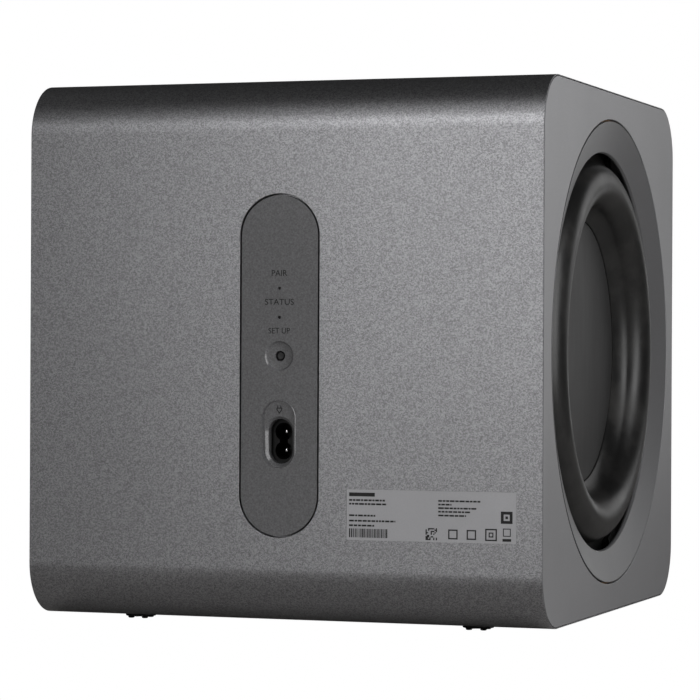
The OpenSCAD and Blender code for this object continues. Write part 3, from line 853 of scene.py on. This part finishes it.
def centre_cap(side):
    """Flat centre disc with a rounded rim and a very slight crown."""
    rim_round = 0.3
    thickness = 1.2
    crown = 0.04
    rings = [ring_x(side, CAP_R, CAP_D + thickness)]
    for inset, depth in quarter_round(rim_round):
        rings.append(ring_x(side, CAP_R - inset, CAP_D + depth))
    for share in (0.96, 0.8, 0.6, 0.4, 0.2, 0.04):
        rings.append(ring_x(side, CAP_R * share, CAP_D - crown * (1 - share * share)))
    name = NAME_OF_SIDE[side]
    piece = loft(f"centre_disc_{name}", rings)
    return place_piece(piece, BODY_OF_SIDE[side], "cap_plastic", [f"centre_cap_{name}"])


# ---- control panel ---------------------------------------------------


def recess_cutters():
    """The slanted recess and the bevel at the mouth of the inlet's well, laid into the panel."""
    recess = prism("recess", stadium(RECESS_HALF, 0, RECESS_H), 0, 6)
    mouth = []
    # how much wider than the well, and height above the slanted face
    for wider, y in ((-0.05, -1.25), (WELL_BEVEL, 0.0), (WELL_BEVEL, 0.3)):
        points = stadium(WELL_HALF, WELL[1] - RECESS_Z0, WELL[2] - RECESS_Z0, wider)
        mouth.append([Vector((x, y, z)) for x, z in points])
    cutters = [recess, loft("bevel", mouth)]
    slant = math.atan((RECESS_LOW - RECESS_HIGH) / RECESS_H)
    foot = Matrix.Translation(Vector((0, PANEL_Y - RECESS_LOW, RECESS_Z0)) * MM)
    for cutter in cutters:
        cutter.data.transform(foot @ Matrix.Rotation(-slant, 4, "X"))
    return cutters


def raised_rim():
    """Low sloping collar round the slanted recess."""
    foot = stadium(*RECESS, RIM_W)
    edge = stadium(*RECESS, 0.05)
    # each outline and its height above the panel
    rings = [(foot, -1), (foot, -0.02), (edge, RIM_H), (edge, RIM_H + 0.01)]
    return loft("collar", [[Vector((x, PANEL_Y + up, z)) for x, z in points] for points, up in rings])


def control_panel():
    """Panel with the slanted recess, the inlet's well, the button's dish and light holes."""
    panel = prism("rear_panel", stadium(*PANEL, steps=60), PANEL_BACK, PANEL_Y)
    soften(panel, 0.3)
    tube = prism("tube", stadium(*WELL, WELL_WALL), INLET_Y, PANEL_BACK + 1)
    carve(panel, [tube, raised_rim()], "UNION")
    cutters = recess_cutters()
    # (radius, height above the panel) from the rim to the flat bottom
    dish = [(DISH_R + 0.75, 0.1), (DISH_R + 0.65, 0.0), (DISH_R + 0.1, -0.57), (DISH_R - 0.1, -1.0)]
    dish += [(DISH_R - 0.6, -1.15), (3.6, -1.25), (BUTTON_R + 0.45, -1.3), (1.0, -1.3)]
    cutters.append(loft("dish", [ring_y(0, BUTTON_Z, r, PANEL_Y + y, 96) for r, y in dish]))
    cutters.append(prism("well", stadium(*WELL), INLET_Y - 1, OUTSIDE_Y))
    cutters.append(loft("bore", [ring_y(0, BUTTON_Z, BUTTON_R + 0.4, y) for y in (PANEL_BACK - 1, HALF_D)]))
    for z in LENS_Z:
        rings = [ring_y(0, z, LENS_R + 0.05, y, 32) for y in (PANEL_BACK - 1, OUTSIDE_Y)]
        cutters.append(loft("light", rings))
    carve(panel, cutters)
    soften(panel, 0.12, 2, 28)
    return place_piece(panel, "cabinet", "panel_plastic", ["control_panel"])


LEGENDS = (
    # name, words, distance below the panel's top, width, height of the letters
    ("legend_pair", "PAIR", 35.4, 7.5, 2.7),
    ("legend_status", "STATUS", 48.5, 14.0, 2.7),
    ("legend_set", "SET UP", 61.6, 10.4, 2.6),
)


def legend(name, words, below, width, height):
    """A short raised legend, a distance below the panel's top, reading from +X to -X."""
    thickness = 0.1
    curve = bpy.data.curves.new(name, "FONT")
    curve.body = words
    curve.extrude = 0.02  # gives the letters a front and a back
    curve.resolution_u = 6
    text = bpy.data.objects.new(name, curve)
    scene.collection.objects.link(text)
    graph = bpy.context.evaluated_depsgraph_get()
    mesh = bpy.data.meshes.new_from_object(text.evaluated_get(graph), depsgraph=graph)
    bpy.data.objects.remove(text)
    bpy.data.curves.remove(curve)
    low_x, *_, high_x = sorted(v.co.x for v in mesh.vertices)
    low_y, *_, high_y = sorted(v.co.y for v in mesh.vertices)
    for v in mesh.vertices:
        x = -(v.co.x - (low_x + high_x) / 2) / (high_x - low_x) * width
        up = (v.co.y - (low_y + high_y) / 2) / (high_y - low_y) * height
        out = math.copysign(thickness / 2, v.co.z)
        v.co = Vector((x, PANEL_Y + out, PANEL_TOP - below + up)) * MM
    obj = bpy.data.objects.new(name, mesh)
    scene.collection.objects.link(obj)
    return place_piece(obj, "cabinet", "ink")


def add_bar(bm, x0, x1, z0, z1, y0, y1):
    """One flat block."""
    rings = [[Vector((x, y, z)) for x, z in rectangle(x0, x1, z0, z1)] for y in (y0, y1)]
    add_loft(bm, rings)


def plug_mark():
    """A plain outline of a plug above the inlet."""
    half = 1.35
    stroke = 0.42
    middle = PANEL_TOP - 97.5
    top = middle + 0.9
    shoulder = middle - 0.1
    tip = middle - 1.9
    within = half - stroke
    outline = [(-half, top), (half, top), (half, shoulder), (0, tip), (-half, shoulder)]
    inner = [(-within, top - stroke), (within, top - stroke), (within, shoulder + 0.12)]
    inner += [(0, tip + 1.5 * stroke), (-within, shoulder + 0.12)]
    face = PANEL_Y - RECESS_MARK
    y0, y1 = face - 0.05, face + 0.08
    walls = ((outline, y0), (outline, y1), (inner, y1), (inner, y0))
    bm = bmesh.new()
    add_loft(bm, [[Vector((x, y, z)) for x, z in points] for points, y in walls], closed=True)
    for x in (-0.75, 0.75):
        add_bar(bm, x - stroke / 2, x + stroke / 2, top - 0.05, top + 1.0, y0, y1)
    return place_piece(to_object("plug_mark", bm), "cabinet", "ink")


def studs(name, heights, profile, count):
    """Equal studs along Y on the panel's middle line, from (radius, y) points."""
    bm = bmesh.new()
    for z in heights:
        add_loft(bm, [ring_y(0, z, r, y, count) for r, y in profile])
    return to_object(name, bm)


def indicator_lenses():
    """Two dark light guides with domed ends."""
    top = lens_high.y
    profile = [(LENS_R, lens_low.y), (LENS_R, top - 0.35), (LENS_R * 0.9, top - 0.18)]
    profile += [(LENS_R * 0.6, top - 0.06), (LENS_R * 0.2, top)]
    guides = studs("light_guides", LENS_Z, profile, 32)
    return place_piece(guides, "cabinet", "lens_plastic", ["indicator_lenses"])


def set_button():
    """Small round key with a flange behind the panel, a rounded rim and a shallow hollow."""
    top = button_high.y
    flange_r = 3.4
    flange_y = (PANEL_BACK - 1.4, PANEL_BACK - 0.2)
    profile = [
        (BUTTON_R, flange_y[0] - 1.8), (BUTTON_R, flange_y[0]), (flange_r, flange_y[0]),
        (flange_r, flange_y[1]), (BUTTON_R, flange_y[1]), (BUTTON_R, top - 0.9),
        (BUTTON_R - 0.35, top - 0.25), (BUTTON_R - 0.5, top - 0.04), (BUTTON_R - 0.7, top),
        (0.8, top - 0.1), (0.2, top - 0.12),
    ]
    piece = loft("set_key_cap", [ring_y(0, BUTTON_Z, r, y) for r, y in profile])
    return place_piece(piece, "set_key", "button_plastic", ["set_button"])


def power_inlet():
    """Two-pin socket with a figure-eight cavity."""
    floor = pin_high.y - 9.8
    behind = 90  # a place on Y behind the block
    socket_r = 4.1
    waist_half = 1.9
    waist_reach = 4.3
    inlet = prism("socket_block", stadium(*WELL, WELL_WALL), floor - 3, INLET_Y)
    waist = rectangle(-waist_half, waist_half, INLET_Z - waist_reach, INLET_Z + waist_reach)
    cutters = [prism("waist", waist, floor, HALF_D)]
    for z in PIN_Z:
        cutters.append(loft("socket", [ring_y(0, z, socket_r, y, 96) for y in (floor, HALF_D)]))
        cutters.append(loft("pin_hole", [ring_y(0, z, PIN_R, y, 32) for y in (behind, HALF_D)]))
    carve(inlet, cutters)
    soften(inlet, 0.18, 2)
    return place_piece(inlet, "cabinet", "inlet_plastic", ["power_inlet"])


def inlet_pins():
    """Two round contact pins with domed tips."""
    tip = pin_high.y
    profile = [(PIN_R, pin_low.y), (PIN_R, tip - 1.1), (PIN_R * 0.93, tip - 0.62)]
    profile += [(PIN_R * 0.74, tip - 0.26), (PIN_R * 0.42, tip - 0.06), (PIN_R * 0.1, tip)]
    pins = studs("contact_pins", PIN_Z, profile, 48)
    return place_piece(pins, "cabinet", "pin_metal", ["inlet_pins"])


# ---- rating label ----------------------------------------------------

FILM_Y = HALF_D - 0.04
PRINT_Y = HALF_D - 0.01
FIRST_COLUMN = 1.2
SECOND_COLUMN = 43.3
# Lines of the two columns: distance from the top edge, width
FIRST_LINES = ((4.4, 17.0), (6.1, 17.9), (11.3, 12.5), (13.7, 22.0), (15.8, 12.0))
SECOND_LINES = ((4.0, 19.6), (5.6, 6.2), (7.2, 18.0), (8.8, 15.0), (10.5, 13.0))
BLOCKS = (
    # from the label's left edge, from its top edge, width, height
    (FIRST_COLUMN, 1.4, 12.2, 1.7),
    (74.5, 10.6, 1.2, 1.2),
    (73.2, 20.6, 4.0, 1.2),
)
FRAMES = (
    # from the left edge, from the top edge, size, stroke
    (48.0, 17.0, 4.4, 0.6),
    (56.6, 17.0, 4.4, 0.6),
    (65.2, 16.3, 5.4, 0.6),
    (66.8, 17.9, 2.2, 0.5),
    (72.4, 8.5, 5.4, 1.3),
    (73.4, 16.0, 3.6, 0.4),
)
# A striped block, and a square of small cells of which about half are printed
STRIPES = (FIRST_COLUMN, 17.6, 18.0, 4.0)
SPECKLE = (37.4, 16.6)
SPECKLE_CELLS = 9
CELL = 0.6


def label_film():
    """Thin printed film with rounded corners."""
    outline = rectangle(label_low.x, label_high.x, label_low.z, label_high.z, LABEL_CORNER_R)
    film = prism("label_film_sheet", outline, label_low.y, FILM_Y)
    return place_piece(film, "cabinet", "label_film", ["rating_label"])


def label_print():
    """Plain bars and blocks in place of the label's wording."""
    word_gap = 0.35
    chance = random.Random(7)
    bm = bmesh.new()

    # u runs from the label's left edge, v from its top edge, as seen from behind the cabinet
    def mark(u, v, width, height):
        right, bottom = label_high.x - u - width, label_high.z - v - height
        add_bar(bm, right, label_high.x - u, bottom, label_high.z - v, FILM_Y - 0.02, PRINT_Y)

    def line(u, v, width, height):
        at = 0.0
        while at < width:
            word = min(chance.uniform(0.9, 2.6), width - at)
            mark(u + at, v, word, height)
            at += word + word_gap

    def stripes(u, v, width, height):
        at = 0.0
        while at < width:
            bar = chance.choice((0.25, 0.4, 0.6))
            mark(u + at, v, bar, height)
            at += bar + chance.choice((0.25, 0.4))

    def speckle(u, v):
        for row in range(SPECKLE_CELLS):
            for column in range(SPECKLE_CELLS):
                if chance.random() < 0.5:
                    mark(u + column * CELL, v + row * CELL, CELL * 0.98, CELL * 0.98)

    def outline(u, v, size, stroke):
        mark(u, v, size, stroke)
        mark(u, v + size - stroke, size, stroke)
        mark(u, v + stroke, stroke, size - 2 * stroke)
        mark(u + size - stroke, v + stroke, stroke, size - 2 * stroke)

    for place in BLOCKS:
        mark(*place)
    for v, width in FIRST_LINES:
        line(FIRST_COLUMN, v, width, 0.8)
    stripes(*STRIPES)
    for v, width in SECOND_LINES:
        line(SECOND_COLUMN, v, width, 0.75)
    speckle(*SPECKLE)
    for place in FRAMES:
        outline(*place)
    return place_piece(to_object("label_print", bm), "cabinet", "ink")


# ---- camera, light and floor -----------------------------------------

# Solved from the cabinet's edges in the photo: place in metres, angles in radians, lens in millimetres
CAMERA_AT = (-0.48155, 1.40847, 0.12725)
CAMERA_YAW = 0.33528
CAMERA_PITCH = 0.00023
CAMERA_ROLL = 0.00474
CAMERA_LENS = 155.13


def make_camera():
    """A long lens at the height of the drivers, off the rear corner."""
    data = bpy.data.cameras.new("camera")
    data.lens = CAMERA_LENS
    data.sensor_width = 36
    data.clip_start = 0.05
    data.clip_end = 60
    camera = bpy.data.objects.new("camera", data)
    scene.collection.objects.link(camera)
    scene.camera = camera
    level = math.cos(CAMERA_PITCH)
    ahead = Vector((math.sin(CAMERA_YAW) * level, -math.cos(CAMERA_YAW) * level, math.sin(CAMERA_PITCH)))
    flat_right = Vector((-math.cos(CAMERA_YAW), -math.sin(CAMERA_YAW), 0))
    flat_up = flat_right.cross(ahead)
    right = math.cos(CAMERA_ROLL) * flat_right + math.sin(CAMERA_ROLL) * flat_up
    up = math.cos(CAMERA_ROLL) * flat_up - math.sin(CAMERA_ROLL) * flat_right
    turn = Matrix((right, up, -ahead)).transposed().to_4x4()
    camera.matrix_world = Matrix.Translation(CAMERA_AT) @ turn


TARGET = Vector((0, 0, AXIS_Z * MM))


def softbox(name, azimuth, elevation, distance, width, height, power):
    """A rectangular soft light that faces the object, placed by two angles in degrees."""
    data = bpy.data.lights.new(name, "AREA")
    data.shape = "RECTANGLE"
    data.size = width
    data.size_y = height
    data.energy = power
    lamp = bpy.data.objects.new(name, data)
    scene.collection.objects.link(lamp)
    turn, rise = math.radians(azimuth), math.radians(elevation)
    way = Vector((math.sin(turn) * math.cos(rise), math.cos(turn) * math.cos(rise), math.sin(rise)))
    lamp.location = TARGET + way * distance
    lamp.rotation_mode = "QUATERNION"
    lamp.rotation_quaternion = way.to_track_quat("Z", "Y")
    lamp.visible_camera = False


def for_camera_rays(tree, others, camera):
    """Mixes two shaders: camera for what the camera sees itself, others for all other rays."""
    path = tree.nodes.new("ShaderNodeLightPath")
    mix = tree.nodes.new("ShaderNodeMixShader")
    tree.links.new(path.outputs["Is Camera Ray"], mix.inputs[0])
    tree.links.new(others.outputs[0], mix.inputs[1])
    tree.links.new(camera.outputs[0], mix.inputs[2])
    return mix.outputs[0]


def make_world():
    """White where the camera looks past the object, dim for everything else."""
    world = bpy.data.worlds.new("studio")
    scene.world = world
    tree = empty_tree(world)

    def background(strength):
        node = tree.nodes.new("ShaderNodeBackground")
        node.inputs["Color"].default_value = (1, 1, 1, 1)
        node.inputs["Strength"].default_value = strength
        return node

    output = tree.nodes.new("ShaderNodeOutputWorld")
    tree.links.new(for_camera_rays(tree, background(0.004), background(1.0)), output.inputs[0])


def make_floor():
    """A pale floor that runs out to the white background."""
    bm = bmesh.new()
    bmesh.ops.create_circle(bm, cap_ends=True, radius=16, segments=96)
    mesh = bpy.data.meshes.new("studio_floor")
    bm.to_mesh(mesh)
    bm.free()
    floor = bpy.data.objects.new("studio_floor", mesh)
    scene.collection.objects.link(floor)
    material = bpy.data.materials.new("studio_floor")
    tree = empty_tree(material)
    card = tree.nodes.new("ShaderNodeBsdfDiffuse")
    card.inputs["Color"].default_value = (0.56, 0.545, 0.53, 1)
    glow = tree.nodes.new("ShaderNodeEmission")
    glow.inputs["Strength"].default_value = 1.0
    output = tree.nodes.new("ShaderNodeOutputMaterial")
    tree.links.new(for_camera_rays(tree, card, glow), output.inputs[0])
    mesh.materials.append(material)


LIGHTS = (
    # name, degrees from +Y towards +X, degrees up, distance, width, height, watts
    ("key_level", 12, 6, 2.45, 0.55, 1.05, 4.9),
    ("key_high", 12, 24, 2.45, 0.55, 0.55, 4.8),
    ("key_top", 12, 42, 2.45, 0.55, 1.1, 2.6),
    ("rear_centre", 0, 0, 2.45, 0.55, 0.55, 0.6),
    ("side_strip", -64, 14, 0.75, 0.285, 0.75, 2.8),
    ("side_front", -150, 14, 2.45, 1.1, 0.85, 3.6),
    ("front_strip", -174, 0.5, 2.45, 1.1, 0.3, 0.75),
    ("front_right", 108, 30, 2.45, 1.3, 1.3, 10.0),
)

make_camera()
make_world()
make_floor()
for light in LIGHTS:
    softbox(*light)

# ---- the pieces ------------------------------------------------------

cabinet_shell()
rubber_feet()
cross_screws()
for side in (-1, 1):
    side_panel(side)
    trim_ring(side)
    surround(side)
    spider(side)
    cone(side)
    centre_cap(side)
control_panel()
indicator_lenses()
set_button()
power_inlet()
inlet_pins()
for row in LEGENDS:
    legend(*row)
plug_mark()
label_film()
label_print()

# ---- finishes of the CAD nodes that stay -----------------------------

STAYING = {
    # finish: the nodes that wear it, without _left or _right
    "board": ("baffle", "centre_brace"),
    "felt": ("damping_pads",),
    "gasket_foam": ("driver_gasket", "housing_gasket"),
    "basket_metal": ("basket",),
    "black_screw": ("driver_screws",),
    "zinc_screw": ("housing_screws",),
    "plated_steel": ("top_plate", "yoke"),
    "ferrite": ("magnet",),
    "terminal_board": ("terminal",),
    "coil_copper": ("voice_coil",),
    "plunger_plastic": ("switch_plunger",),
    "switch_plastic": ("push_switch",),
    "led_chip": ("status_leds",),
    "circuit_board": ("control_board", "amplifier_board"),
    "tub_plastic": ("electronics_housing",),
    "winding_tape": ("power_transformer",),
    "capacitor_can": ("smoothing_capacitors",),
    "coil_toroid": ("output_coils",),
    "chip_resin": ("amplifier_chip",),
    "sink_aluminium": ("heat_sink",),
    "radio_module": ("wireless_module",),
    "lead_insulation": ("speaker_leads",),
}
FINISH_OF_NODE = {kind: finish for finish, kinds in STAYING.items() for kind in kinds}
for node_name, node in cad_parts.items():
    kind = node_name.removesuffix("_left").removesuffix("_right")
    if kind in FINISH_OF_NODE:
        paint(node, FINISH_OF_NODE[kind])
